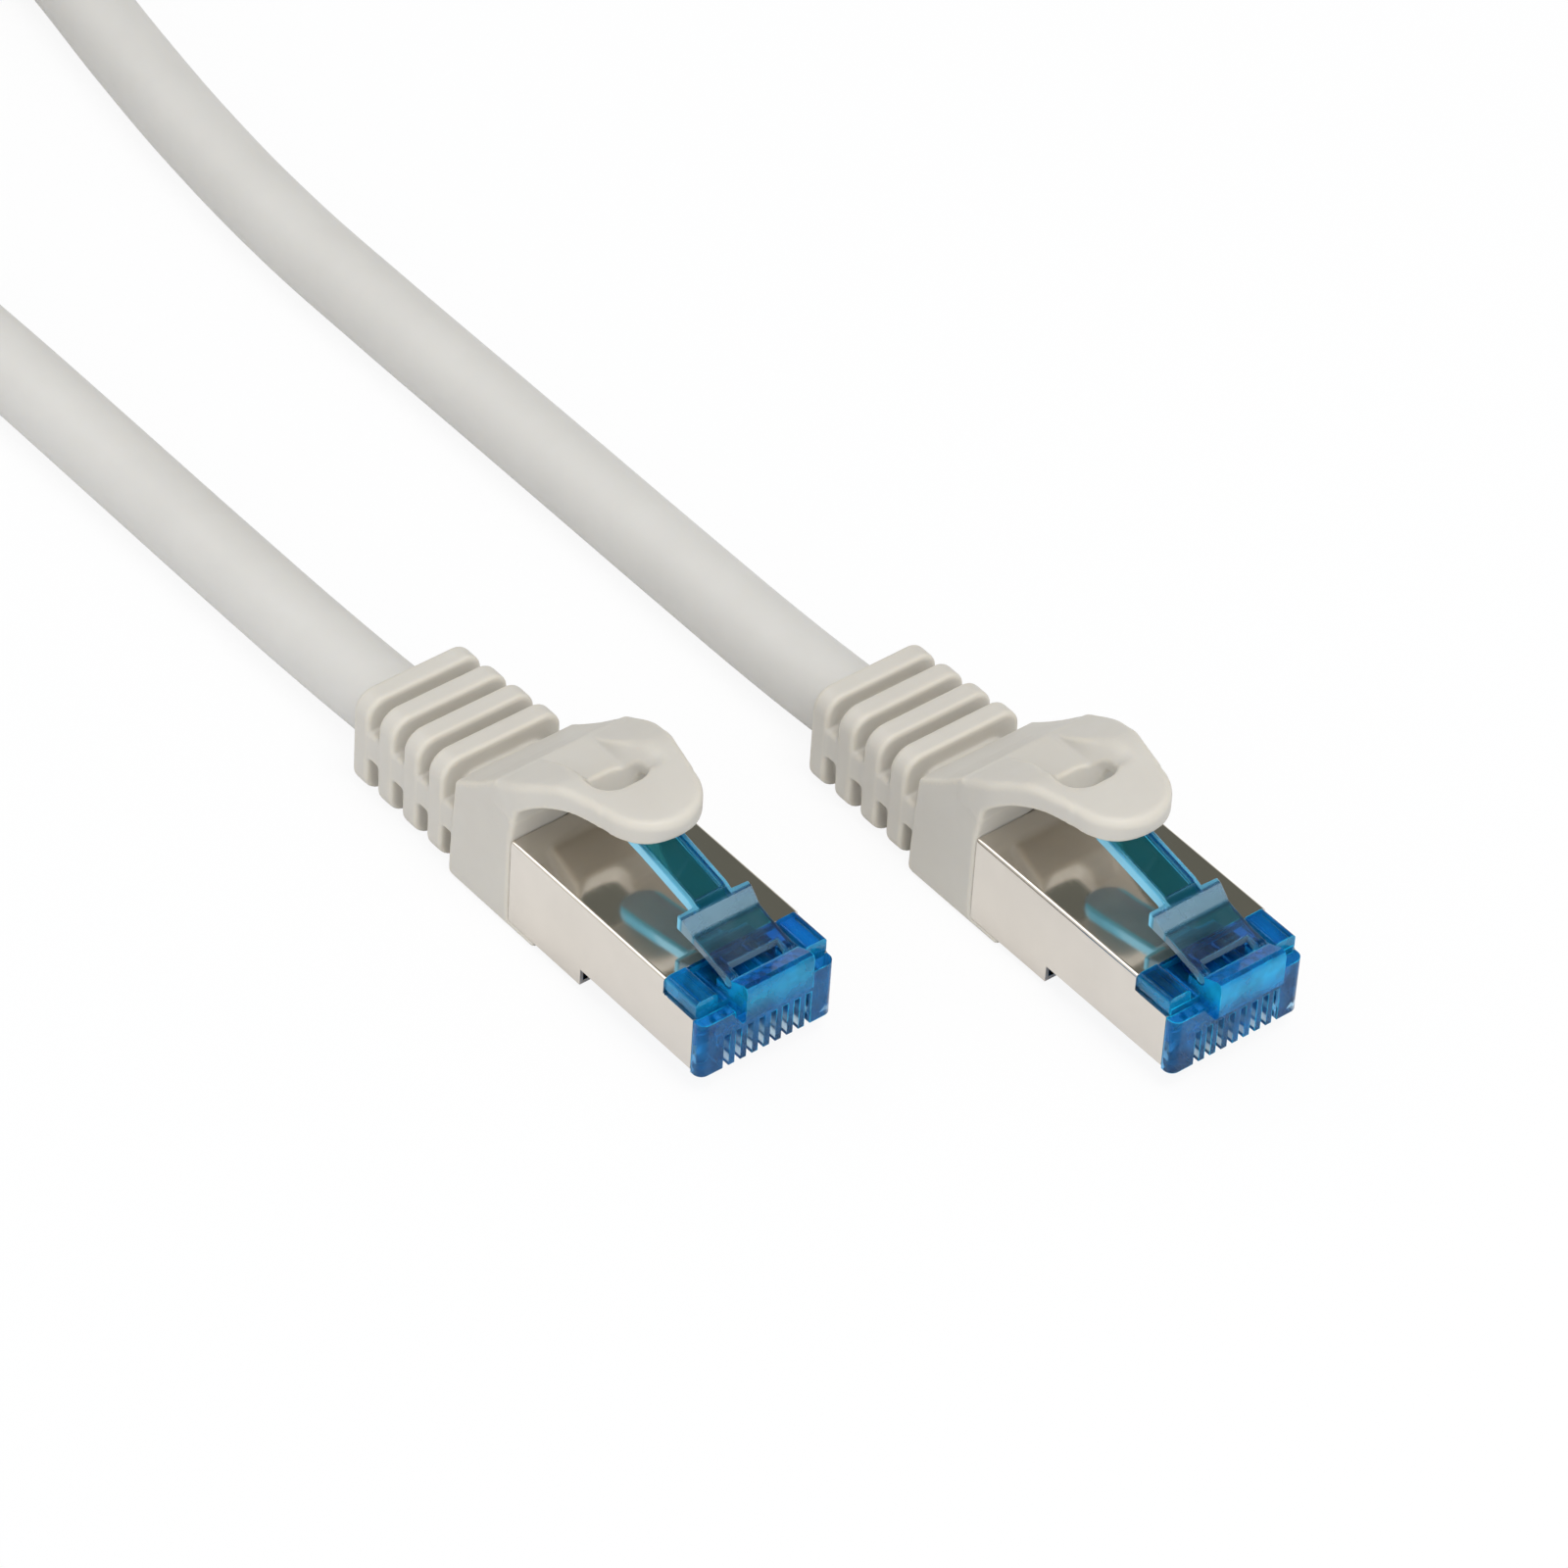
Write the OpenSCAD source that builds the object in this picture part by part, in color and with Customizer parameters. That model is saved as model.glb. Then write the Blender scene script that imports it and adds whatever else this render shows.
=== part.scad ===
// Ethernet patch cable: two shielded 8P8C plugs with snagless boots on one round cord.
// Each plug is drawn in its own frame: x across, y back from the front face of its comb,
// z up from its datum plane. The two plugs are then placed side by side, one ahead.
// The cord's spare length lies behind them, folded into a tied hank. Units: millimetres.

/* [Plug] */
// Width over the metal shell
plug_w = 11.75; // [11.6:0.05:11.9]
// Height of the metal shell's top above the plug's datum plane
plug_h = 6.85; // [6.75:0.05:6.95]
// Width of the housing's front block
front_w = 11.7; // [11.5:0.05:11.75]
// Thickness of the shell's sheet metal
sheet_t = 0.3; // [0.25:0.05:0.35]
// Clearance around pieces that sit in each other
seat = 0.02; // [0.01:0.01:0.04]

/* [Contacts] */
// Spacing of the eight contacts
pitch = 1.02; // [1.0:0.01:1.04]
// Thickness of a contact blade
blade_t = 0.35; // [0.3:0.05:0.4]
// Width of a comb slot
slot_w = 0.5; // [0.45:0.05:0.55]
// Diameter of an insulated conductor
wire_d = 0.96; // [0.9:0.02:0.98]
// Height between the two staggered rows of conductors
row_h = 0.6; // [0.5:0.05:0.7]

/* [Latch] */
// Width of the latch at its shoulders
latch_w = 6.2; // [6.0:0.1:6.4]
// Width of the latch arm behind the shoulders
arm_w = 3.4; // [3.2:0.1:3.6]
// Radius of the latch's round root
root_r = 0.5; // [0.4:0.05:0.55]
// Radial clearance of the latch root and of the guard root
hinge_gap = 0.05; // [0.03:0.01:0.08]

/* [Boot] */
// Width of the boot behind the shell
boot_w = 12; // [11.85:0.05:12.2]
// Radius of the guard tab's round paddle
paddle_r = 3.9; // [3.8:0.1:4.1]
// Radius of the guard tab's round root
guard_root_r = 1.5; // [1.3:0.1:1.6]
// Radius of the finger eye at the top of the guard tab
eye_r = 2.5; // [2.3:0.1:2.7]
// Number of bend ribs on the strain relief
rib_count = 4; // [3:1:4]
// Thickness of a bend rib
rib_t = 1.5; // [1.4:0.1:1.6]
// Spacing of the bend ribs
rib_pitch = 2.85; // [2.8:0.05:2.9]

/* [Cord] */
// Diameter of the cord's jacket
cord_d = 6.2; // [6.0:0.1:6.2]
// Sideways distance between the two plugs
pair_pitch = 26.4; // [25:0.2:30]
// How far the second plug lies ahead of the first
pair_lead = 18.6; // [17:0.2:20]
// Length of the hank's straight runs
run_l = 122; // [100:1:124]
// Layers of cord in the hank
layers = 2; // [2:1:2]

/* [Hidden] */
$fn = 48;

cut = 1;                      // how far a cutting shape runs past the face it cuts
n_ways = 8;

// Housing, along y: comb block, ears beside the latch, core under the shell, open rear
base_z = 0.65;
block_d = 1.0;
corner_r = 0.7;
ledge_z = 5.4;
ear_y0 = 0.95;
ear_top = 6.95;
ear_inner = 3.8;
ear_outer = 5.7;
ear_r = 0.35;
valley_z = 6.0;
shell_y0 = 4.3;
core_w = plug_w - 2 * sheet_t - 2 * seat;
core_top = plug_h - sheet_t - seat;
core_y1 = 18.5;
chamfer = 0.5;
box_y0 = 13.2;
comb_y1 = 6.4;
front_slot_z = 3.6;
wire_z = 3.2;
wire_y0 = 1.8;
wire_gap = 0.03;
channel_r = wire_d / 2 + wire_gap;
bar_y0 = 6.7;
bar_y1 = 11.7;
bar_w = 8.7;
bar_h = 2.0;
cavity_w = 9.2;
cavity_z0 = 1.3;
cavity_z1 = 5.6;

// Bridge at the front that carries the latch
bridge_w = 5.9;
bridge_y0 = -1.1;
bridge_z0 = 4.95;
bridge_top = 8.3;
bridge_back = 1.0;
hinge_y = 1.15;
hinge_z = 7.35;
window_w = 4.3;
window_y1 = 2.05;

// Latch lever, along y
shoulder_y = 6.55;
shoulder_z = 9.5;
arm_y1 = 15.3;
groove_y0 = 7.0;
groove_y1 = 14.5;
rail_w = 0.5;
groove_d = 0.45;

// Shell, along y
side_z0 = 0.93;
side_top_z = 5.45;
side_y0 = 1.02;
box_z0 = -0.5;
box_y1 = 21.3;
shell_r = 0.3;
cable_z = 3.15;
braid_t = 0.25;
braid_gap = 0.03;
crimp_r = cord_d / 2 + braid_t + braid_gap;
crimp_y1 = 25.5;
jacket_y0 = box_y1 - sheet_t;

// Boot and guard
floor_z = -1.1;
lip_y0 = 18.4;
boot_y0 = 21.35;
boot_y1 = 27.7;
boot_r = 0.5;
crest_y = 23.4;
crest_z = 11.0;
slope_y = 25.3;
slope_z = 9.45;
back_z = 7.9;
guard_y = 22.1;
guard_z = 9.95;
arch_y = 20.5;
swell_y = 19.1;
level_y = 16.9;
waist_w = 4.55;
flare_w = 5.35;
paddle_y = 14.2;
paddle_z0 = 12.4;
paddle_top = 14.1;
tip_y = paddle_y - paddle_r;
eye_y = 17.35;
eye_y1 = 18.7;
eye_draft = 0.2;              // how much narrower the eye is for each mm further down
pocket_z = 12.2;
pocket_y1 = 23.6;
pocket_w0 = 2.9;
pocket_w1 = 4.6;
pocket_flare = 0.5;           // how much wider each side of the pocket is for each mm up
rib_y0 = 29.1;
rib_w0 = 10.5;
rib_w1 = 10.1;
rib_x0 = -0.6;
rib_x1 = -0.8;
rib_top0 = 8.05;
rib_top1 = 7.5;
rib_z0 = -1.0;
rib_r = 1.6;
neck_side = 0.9;
neck_top = 0.25;
neck_base = 0.25;
web_z0 = 2.4;
web_z1 = 4.9;
exit_y = rib_y0 + (rib_count - 1) * rib_pitch + rib_t + 0.1;
bend_y = 26;
exit_lean = [-0.8, 0, -0.55]; // the ribs have given way to the cord's weight and set
neck_w = cord_d + 2 * neck_side;
neck_z0 = cable_z + exit_lean[2] - cord_d / 2 - neck_base;
neck_z1 = cable_z + cord_d / 2 + neck_top;

// Placing: the front-to-back middle of the two plugs is the origin, on the standing plane
pair_mid = (bridge_y0 + exit_y - pair_lead) / 2;
place_a = [-pair_pitch / 2, -pair_mid, -floor_z];
place_b = [pair_pitch / 2, -pair_mid - pair_lead, -floor_z];

// Hank: flat racetrack of stacked layers, held off the standing plane by its two ties
fold_r = 19.2;
hank_y0 = 140;
tie_w = 4;
tie_t = 0.8;
low_z = tie_t + cord_d / 2;
high_z = low_z + cord_d;

// Cord routes, in the placed frame: from each boot to the hank, along the standing plane.
// Lead A climbs to the hank's upper layer, and lead B goes into its lower one.
lay_z = cord_d / 2 + 0.05;
lead_ax = -pair_pitch / 2 - 0.9;
lead_bx = pair_pitch / 2 - 0.9;
route_a = [
    [lead_ax, 40, lay_z + 0.15], [lead_ax, 52, lay_z], [lead_ax, 64, lay_z],
    [lead_ax, 76, lay_z], [-14.4, 88, mix(lay_z, high_z, 0.04)],
    [-15.4, 99, mix(lay_z, high_z, 0.29)], [-16.8, 110, mix(lay_z, high_z, 0.63)],
    [-18.1, 121, mix(lay_z, high_z, 0.91)], [-19.0, 132, high_z]
];
route_b = [
    [lead_bx, 20, lay_z + 0.15], [lead_bx, 32, lay_z], [lead_bx, 44, lay_z],
    [lead_bx, 56, lay_z], [lead_bx, 68, lay_z], [12.5, 80, lay_z], [13.5, 92, lay_z],
    [15.2, 104, lay_z], [17.0, 115, mix(lay_z, low_z, 0.3)],
    [18.3, 125, mix(lay_z, low_z, 0.8)], [19.0, 134, low_z]
];

// ---- helpers ----

module along_x(width) {
    rotate([90, 0, 90])
        linear_extrude(width, center = true)
            children();
}

module along_y(y0, y1) {
    translate([0, y1, 0])
        rotate([90, 0, 0])
            linear_extrude(y1 - y0)
                children();
}

module rounded_box(width, z0, z1, r) {
    translate([-width / 2, z0 + r])
        square([width, z1 - z0 - 2 * r]);
    translate([-width / 2 + r, z0])
        square([width - 2 * r, z1 - z0]);
    for (x = [-1, 1], z = [z0 + r, z1 - r])
        translate([x * (width / 2 - r), z])
            circle(r);
}

module both_sides() {
    children();
    mirror([1, 0, 0])
        children();
}

// A smooth curve through a list of points, as a list of short chords
function curve(p, steps = 4) = [
    for (i = [0 : len(p) - 2], k = [0 : steps - 1])
        let (
            a = p[max(i - 1, 0)], b = p[i], c = p[i + 1], d = p[min(i + 2, len(p) - 1)],
            t = k / steps
        )
        b + t / 2 * (c - a + t * (2 * a - 5 * b + 4 * c - d + t * (3 * b - a - 3 * c + d))),
    p[len(p) - 1]
];

function way_x(i) = (i - (n_ways - 1) / 2) * pitch;

function row(i) = (i % 2 == 0) ? 1 : -1;

function way_z(i) = wire_z + row(i) * row_h / 2;

function mix(a, b, f) = a + f * (b - a);

function unit(v) = v / norm(v);

function heading(points, i) =
    unit(points[min(i + 1, len(points) - 1)] - points[max(i - 1, 0)]);

function ring(centre, dir, r, sides) =
    let (side = unit(cross(dir, [0, 0, 1])), rise = cross(side, dir))
    [for (k = [0 : sides - 1]) centre + r * (cos(360 * k / sides) * side + sin(360 * k / sides) * rise)];

// A tube of radius r swept along a list of points
module tube(points, r, sides) {
    n = len(points);
    rings = [for (i = [0 : n - 1]) each ring(points[i], heading(points, i), r, sides)];
    walls = [
        for (i = [0 : n - 2], k = [0 : sides - 1])
            [i * sides + k, i * sides + (k + 1) % sides, (i + 1) * sides + (k + 1) % sides, (i + 1) * sides + k]
    ];
    near_end = [[for (k = [sides - 1 : -1 : 0]) k]];
    far_end = [[for (k = [0 : sides - 1]) (n - 1) * sides + k]];
    polyhedron(rings, concat(walls, near_end, far_end));
}

// ---- plug ----

module front_block_outline() {
    intersection() {
        translate([-front_w / 2, 0])
            square([front_w, block_d]);
        union() {
            translate([-front_w / 2 + corner_r, 0])
                square([front_w - 2 * corner_r, block_d]);
            translate([-front_w / 2, corner_r])
                square([front_w, block_d]);
            for (x = [-1, 1])
                translate([x * (front_w / 2 - corner_r), corner_r])
                    circle(corner_r);
        }
    }
}

module core_section(top) {
    polygon([
        [-core_w / 2, base_z + chamfer], [-core_w / 2 + chamfer, base_z],
        [core_w / 2 - chamfer, base_z], [core_w / 2, base_z + chamfer],
        [core_w / 2, top], [-core_w / 2, top]
    ]);
}

module ear() {
    along_y(ear_y0, shell_y0 - seat)
        translate([(ear_inner + ear_outer) / 2, 0])
            rounded_box(ear_outer - ear_inner, side_top_z + 0.05, ear_top, ear_r);
}

// The nose bar stands proud of the comb; its foot joins the block below the window
module bridge() {
    along_x(bridge_w)
        polygon([
            [bridge_y0, bridge_z0 + 0.4], [bridge_y0 + 0.3, bridge_z0],
            [block_d, bridge_z0], [bridge_back, hinge_z + 0.3],
            [bridge_y0 + 0.5, bridge_top], [bridge_y0 + 0.15, bridge_top - 0.1],
            [bridge_y0, bridge_top - 0.5]
        ]);
    both_sides()
        translate([window_w / 2 + seat, bridge_back - 0.2, ledge_z - 0.2])
            cube([bridge_w / 2 - window_w / 2 - seat, 1.4, hinge_z - root_r - ledge_z + 0.25]);
}

// A slot is open to the front and below, and reaches up into its conductor's channel
module comb_slot(top) {
    along_x(slot_w)
        polygon([
            [-cut, -cut], [comb_y1, -cut], [comb_y1, top], [wire_y0, top],
            [wire_y0, 2.2], [1.3, 2.2], [0.9, front_slot_z], [-cut, front_slot_z]
        ]);
}

module housing() {
    color("royalblue")
        difference() {
            union() {
                translate([0, 0, base_z])
                    linear_extrude(ledge_z - base_z)
                        front_block_outline();
                along_y(block_d - 0.1, shell_y0)
                    core_section(valley_z);
                along_y(shell_y0, core_y1)
                    core_section(core_top);
                both_sides()
                    ear();
                bridge();
            }
            for (i = [0 : n_ways - 1])
                translate([way_x(i), 0, 0]) {
                    comb_slot(way_z(i));
                    translate([0, wire_y0 - 0.1, way_z(i)])
                        rotate([-90, 0, 0])
                            cylinder(r = channel_r, h = bar_y0 - wire_y0 + cut);
                }
            translate([-bar_w / 2 - seat, bar_y0 - seat, wire_z - bar_h / 2 - seat])
                cube([bar_w + 2 * seat, bar_y1 - bar_y0 + cut, bar_h + 2 * seat]);
            translate([-cavity_w / 2, bar_y1, cavity_z0])
                cube([cavity_w, core_y1 - bar_y1 + cut, cavity_z1 - cavity_z0]);
            translate([0, hinge_y, hinge_z])
                rotate([0, 90, 0])
                    cylinder(r = root_r + hinge_gap, h = bridge_w + cut, center = true);
        }
}

module latch_profile() {
    polygon([
        [hinge_y, hinge_z + root_r], [2.4, 8.0], [4.9, 8.6], [6.0, shoulder_z - 0.1],
        [shoulder_y, shoulder_z], [7.2, 9.8], [12.5, 10.85], [arm_y1, 11.15],
        [arm_y1, 10.3], [12.5, 9.9], [7.2, 8.85], [shoulder_y, 8.3],
        [4.9, 7.85], [2.4, 7.3], [hinge_y + 0.3, hinge_z - 0.35], [hinge_y, hinge_z]
    ]);
}

module latch_outline() {
    polygon([
        [-latch_w / 2 + 0.2, 0], [latch_w / 2 - 0.2, 0], [latch_w / 2 - 0.2, 4.8],
        [latch_w / 2, shoulder_y], [arm_w / 2, shoulder_y], [arm_w / 2, arm_y1 - arm_w / 2],
        [-arm_w / 2, arm_y1 - arm_w / 2], [-arm_w / 2, shoulder_y],
        [-latch_w / 2, shoulder_y], [-latch_w / 2 + 0.2, 4.8]
    ]);
    translate([0, arm_y1 - arm_w / 2])
        circle(arm_w / 2);
}

module latch_lever() {
    color("deepskyblue")
        difference() {
            union() {
                intersection() {
                    along_x(latch_w + cut)
                        latch_profile();
                    linear_extrude(20)
                        latch_outline();
                }
                translate([0, hinge_y, hinge_z])
                    rotate([0, 90, 0])
                        cylinder(r = root_r, h = latch_w - 0.4, center = true);
            }
            translate([-window_w / 2, -cut, 0])
                cube([window_w, window_y1 + cut, 20]);
            along_x(arm_w - 2 * rail_w)
                polygon([
                    [groove_y0, 9.75 - groove_d], [12.5, 10.85 - groove_d],
                    [groove_y1, 11.05 - groove_d], [groove_y1, 13], [groove_y0, 13]
                ]);
        }
}

module contacts() {
    color("gold")
        for (i = [0 : n_ways - 1])
            translate([way_x(i), 0, 0])
                along_x(blade_t) {
                    translate([2.6, 0.55])
                        square([3.5, way_z(i) - wire_d / 2 - seat - 0.55]);
                    translate([2.0, 1.15])
                        square([1, 0.9]);
                    translate([2.6, 1.15])
                        circle(0.6);
                }
}

module shell_section(z0) {
    difference() {
        union() {
            translate([-plug_w / 2, z0])
                square([plug_w, plug_h - shell_r - z0]);
            translate([-plug_w / 2 + shell_r, z0])
                square([plug_w - 2 * shell_r, plug_h - z0]);
            for (x = [-1, 1])
                translate([x * (plug_w / 2 - shell_r), plug_h - shell_r])
                    circle(shell_r);
        }
        translate([-plug_w / 2 + sheet_t, z0 - cut])
            square([plug_w - 2 * sheet_t, plug_h - sheet_t - z0 + cut]);
    }
}

module shield_shell() {
    color("silver") {
        along_y(shell_y0, box_y0)
            shell_section(side_z0);
        both_sides()
            translate([plug_w / 2 - sheet_t, side_y0, side_z0])
                cube([sheet_t, shell_y0 - side_y0, side_top_z - side_z0]);
        along_y(box_y0, box_y1)
            shell_section(box_z0);
        translate([-plug_w / 2, box_y0, box_z0])
            cube([plug_w, box_y1 - box_y0, sheet_t]);
        difference() {
            union() {
                translate([-plug_w / 2 + sheet_t / 2, box_y1 - sheet_t, box_z0])
                    cube([plug_w - sheet_t, sheet_t, plug_h - box_z0 - sheet_t / 2]);
                translate([0, box_y1 - sheet_t, cable_z])
                    rotate([-90, 0, 0])
                        cylinder(r = crimp_r + sheet_t, h = crimp_y1 - box_y1 + sheet_t);
            }
            translate([0, box_y1 - cut, cable_z])
                rotate([-90, 0, 0])
                    cylinder(r = crimp_r, h = crimp_y1 - box_y1 + 2 * cut);
        }
    }
}

module wire_guide() {
    color("white")
        difference() {
            translate([-bar_w / 2, bar_y0, wire_z - bar_h / 2])
                cube([bar_w, bar_y1 - bar_y0 - 0.1, bar_h]);
            for (i = [0 : n_ways - 1])
                translate([way_x(i), bar_y0 - cut, way_z(i)])
                    rotate([-90, 0, 0])
                        cylinder(r = channel_r, h = bar_y1 - bar_y0 + 2 * cut);
        }
}

// One conductor: straight through the comb and guide, then into the bundle's two rows
module conductor(i) {
    end_x = way_x(i) * 0.6;
    end_z = cable_z + row(i) * 0.75;
    tube([
        [way_x(i), wire_y0, way_z(i)], [way_x(i), bar_y1, way_z(i)],
        [(way_x(i) + end_x) / 2, 14.3, (way_z(i) + end_z) / 2],
        [end_x, 17.2, end_z], [end_x, jacket_y0, end_z]
    ], wire_d / 2, 8);
}

module wire_pair(i, j, shade) {
    color(shade) {
        conductor(i);
        conductor(j);
    }
}

// The cord's centre line inside the boot: straight in the crimp, then an easy S to the exit
function ease(t) = t * t * (3 - 2 * t);

function cord_at(y) = [0, y, cable_z] + exit_lean * ease(max(0, min(1, (y - bend_y) / (exit_y - bend_y))));

cord_end = cord_at(exit_y);

module jacket(r, y0, y1) {
    tube(concat([cord_at(y0)], [for (k = [0 : 5]) cord_at(mix(bend_y, y1, k / 5))]), r, 16);
}

module jacket_end() {
    color("lightgray")
        jacket(cord_d / 2, jacket_y0, exit_y);
}

module braid_collar() {
    color("darkgray")
        difference() {
            translate([0, jacket_y0, cable_z])
                rotate([-90, 0, 0])
                    cylinder(r = cord_d / 2 + braid_t, h = crimp_y1 - jacket_y0 - seat);
            translate([0, jacket_y0 - cut, cable_z])
                rotate([-90, 0, 0])
                    cylinder(r = cord_d / 2 + seat / 2, h = crimp_y1 - jacket_y0 + 2 * cut);
        }
}

// ---- boot ----

module boot_profile() {
    polygon([
        [lip_y0, floor_z], [boot_y1 - 0.3, floor_z], [boot_y1, floor_z + 0.6],
        [boot_y1, back_z], [slope_y, slope_z], [crest_y, crest_z], [guard_y, guard_z],
        [boot_y0 - 0.3, mix(plug_h, guard_z, 0.57)], [boot_y0, plug_h + 0.05],
        [boot_y0, box_z0 + 0.9], [lip_y0, box_z0 - seat]
    ]);
}

// Sleeve round the cord and its two side webs, between one rib and the next
module rib_neck(web_w) {
    rounded_box(neck_w, neck_z0, neck_z1, rib_r);
    translate([-web_w / 2, web_z0])
        square([web_w, web_z1 - web_z0]);
}

module ribs() {
    for (i = [0 : rib_count - 1])
        let (f = i / (rib_count - 1), y = rib_y0 + i * rib_pitch)
            translate([mix(rib_x0, rib_x1, f), 0, 0]) {
                along_y(y, y + rib_t)
                    rounded_box(mix(rib_w0, rib_w1, f), rib_z0, mix(rib_top0, rib_top1, f), rib_r);
                along_y(y - rib_pitch + rib_t - 0.3, y + 0.1)
                    rib_neck(mix(rib_w0, rib_w1, f) - 0.2);
            }
}

module boot() {
    color("lightgray")
        difference() {
            union() {
                intersection() {
                    along_x(boot_w)
                        boot_profile();
                    along_y(lip_y0 - cut, boot_y1 + cut)
                        rounded_box(boot_w, floor_z, 20, boot_r);
                }
                ribs();
            }
            translate([0, guard_y, guard_z])
                rotate([0, 90, 0])
                    cylinder(r = guard_root_r + hinge_gap, h = boot_w + cut, center = true);
            jacket(cord_d / 2 + seat, boot_y0, exit_y + cut);
            translate([0, boot_y0 - 4 * cut, cable_z])
                rotate([-90, 0, 0])
                    cylinder(r = crimp_r + sheet_t + seat, h = crimp_y1 - boot_y0 + 4 * cut + seat);
            translate([-boot_w / 2 - cut, lip_y0 - cut, box_z0 - seat])
                cube([boot_w + 2 * cut, box_y1 - lip_y0 + cut + seat, plug_h - box_z0 + 2 * seat]);
        }
}

// The tab rises from the root, levels out into the paddle, and arches over the shell
module guard_profile() {
    top_line = curve([
        [guard_y, guard_z + guard_root_r], [swell_y, mix(guard_z + guard_root_r, paddle_top, 0.72)],
        [level_y, paddle_top], [tip_y + 0.7, paddle_top - 0.05], [tip_y, paddle_top - 0.7]
    ]);
    under_line = curve([
        [tip_y, paddle_z0 + 0.4], [tip_y + 0.7, paddle_z0], [level_y - 0.4, paddle_z0 - 0.1],
        [swell_y - 0.4, mix(guard_z, paddle_z0, 0.63)], [arch_y, guard_z + 0.2],
        [guard_y - 1.2, guard_z - 0.5]
    ]);
    polygon(concat(top_line, under_line, [[guard_y, guard_z]]));
}

module guard_outline() {
    side = curve([
        [paddle_r, paddle_y], [waist_w, level_y - 0.4], [flare_w, swell_y],
        [boot_w / 2 - 0.15, guard_y - 1.3], [boot_w / 2, guard_y], [boot_w / 2, guard_y + guard_root_r]
    ]);
    translate([0, paddle_y])
        circle(paddle_r);
    polygon(concat(side, [for (i = [len(side) - 1 : -1 : 0]) [-side[i][0], side[i][1]]]));
}

// The finger eye: a drafted round hole, cut straight across where the pocket's floor begins
module eye() {
    z1 = paddle_top + cut;
    depth = z1 - guard_z;
    intersection() {
        translate([0, eye_y, guard_z])
            cylinder(r1 = eye_r - eye_draft * (paddle_top - guard_z), r2 = eye_r + eye_draft * cut, h = depth);
        translate([-paddle_r, tip_y, guard_z])
            cube([2 * paddle_r, eye_y1 - tip_y, depth]);
    }
}

// The pocket's floor falls from the eye to the crest, and its walls lean outwards
module pocket() {
    z1 = paddle_top + cut;
    top_w0 = pocket_w0 + 2 * pocket_flare * (z1 - pocket_z);
    top_w1 = pocket_w1 + 2 * pocket_flare * (z1 - crest_z);
    y0 = eye_y1 - 0.05;
    polyhedron([
        [-pocket_w0 / 2, y0, pocket_z], [pocket_w0 / 2, y0, pocket_z],
        [pocket_w1 / 2, pocket_y1, crest_z], [-pocket_w1 / 2, pocket_y1, crest_z],
        [-top_w0 / 2, y0, z1], [top_w0 / 2, y0, z1],
        [top_w1 / 2, pocket_y1, z1], [-top_w1 / 2, pocket_y1, z1]
    ], [
        [0, 1, 2, 3], [7, 6, 5, 4], [0, 4, 5, 1], [2, 6, 7, 3], [1, 5, 6, 2], [0, 3, 7, 4]
    ]);
}

module latch_guard() {
    color("lightgray")
        difference() {
            union() {
                intersection() {
                    along_x(boot_w)
                        guard_profile();
                    linear_extrude(20)
                        guard_outline();
                }
                translate([0, guard_y, guard_z])
                    rotate([0, 90, 0])
                        cylinder(r = guard_root_r, h = boot_w, center = true);
            }
            eye();
            pocket();
        }
}

// ---- cord ----

// A lead starts a little inside the jacket's end in the boot
module lead(place, route) {
    color("lightgray")
        tube(concat([place + cord_end - [0, 0.2, 0]], route), cord_d / 2, 10);
}

module racetrack(r) {
    translate([0, hank_y0])
        circle(r);
    translate([0, hank_y0 + run_l])
        circle(r);
    translate([-r, hank_y0])
        square([2 * r, run_l]);
}

module cord_hank() {
    color("lightgray")
        translate([0, 0, low_z - cord_d / 2])
            linear_extrude(layers * cord_d)
                difference() {
                    racetrack(fold_r + cord_d / 2);
                    racetrack(fold_r - cord_d / 2);
                }
}

// A strap round the stacked runs of one side, with its twisted knot on top
module hank_tie(side) {
    z1 = tie_t + layers * cord_d;
    y_mid = hank_y0 + run_l / 2;
    color("dimgray")
        translate([side * fold_r, 0, 0]) {
            along_y(y_mid - tie_w / 2, y_mid + tie_w / 2)
                difference() {
                    rounded_box(cord_d + 2 * tie_t, 0, z1 + tie_t, tie_t);
                    translate([-cord_d / 2 - seat, tie_t - seat])
                        square([cord_d + 2 * seat, layers * cord_d + 2 * seat]);
                }
            translate([0, y_mid, z1 + tie_t / 2])
                cylinder(d = 3, h = 2);
        }
}

module at_a() {
    translate(place_a)
        children();
}

module at_b() {
    translate(place_b)
        children();
}

at_a() housing();  // housing_a
at_a() latch_lever();  // latch_lever_a
at_a() contacts();  // contacts_a
at_a() shield_shell();  // shield_shell_a
at_a() wire_guide();  // wire_guide_a
at_a() wire_pair(0, 1, "orange");  // pair_orange_a
at_a() wire_pair(2, 5, "green");  // pair_green_a
at_a() wire_pair(3, 4, "blue");  // pair_blue_a
at_a() wire_pair(6, 7, "saddlebrown");  // pair_brown_a
at_a() jacket_end();  // jacket_end_a
at_a() braid_collar();  // braid_collar_a
at_a() boot();  // boot_a
at_a() latch_guard();  // latch_guard_a
at_b() housing();  // housing_b
at_b() latch_lever();  // latch_lever_b
at_b() contacts();  // contacts_b
at_b() shield_shell();  // shield_shell_b
at_b() wire_guide();  // wire_guide_b
at_b() wire_pair(0, 1, "orange");  // pair_orange_b
at_b() wire_pair(2, 5, "green");  // pair_green_b
at_b() wire_pair(3, 4, "blue");  // pair_blue_b
at_b() wire_pair(6, 7, "saddlebrown");  // pair_brown_b
at_b() jacket_end();  // jacket_end_b
at_b() braid_collar();  // braid_collar_b
at_b() boot();  // boot_b
at_b() latch_guard();  // latch_guard_b
lead(place_a, route_a);  // cord_lead_a
cord_hank();
lead(place_b, route_b);  // cord_lead_b
hank_tie(-1);  // hank_tie_left
hank_tie(1);  // hank_tie_right
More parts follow.
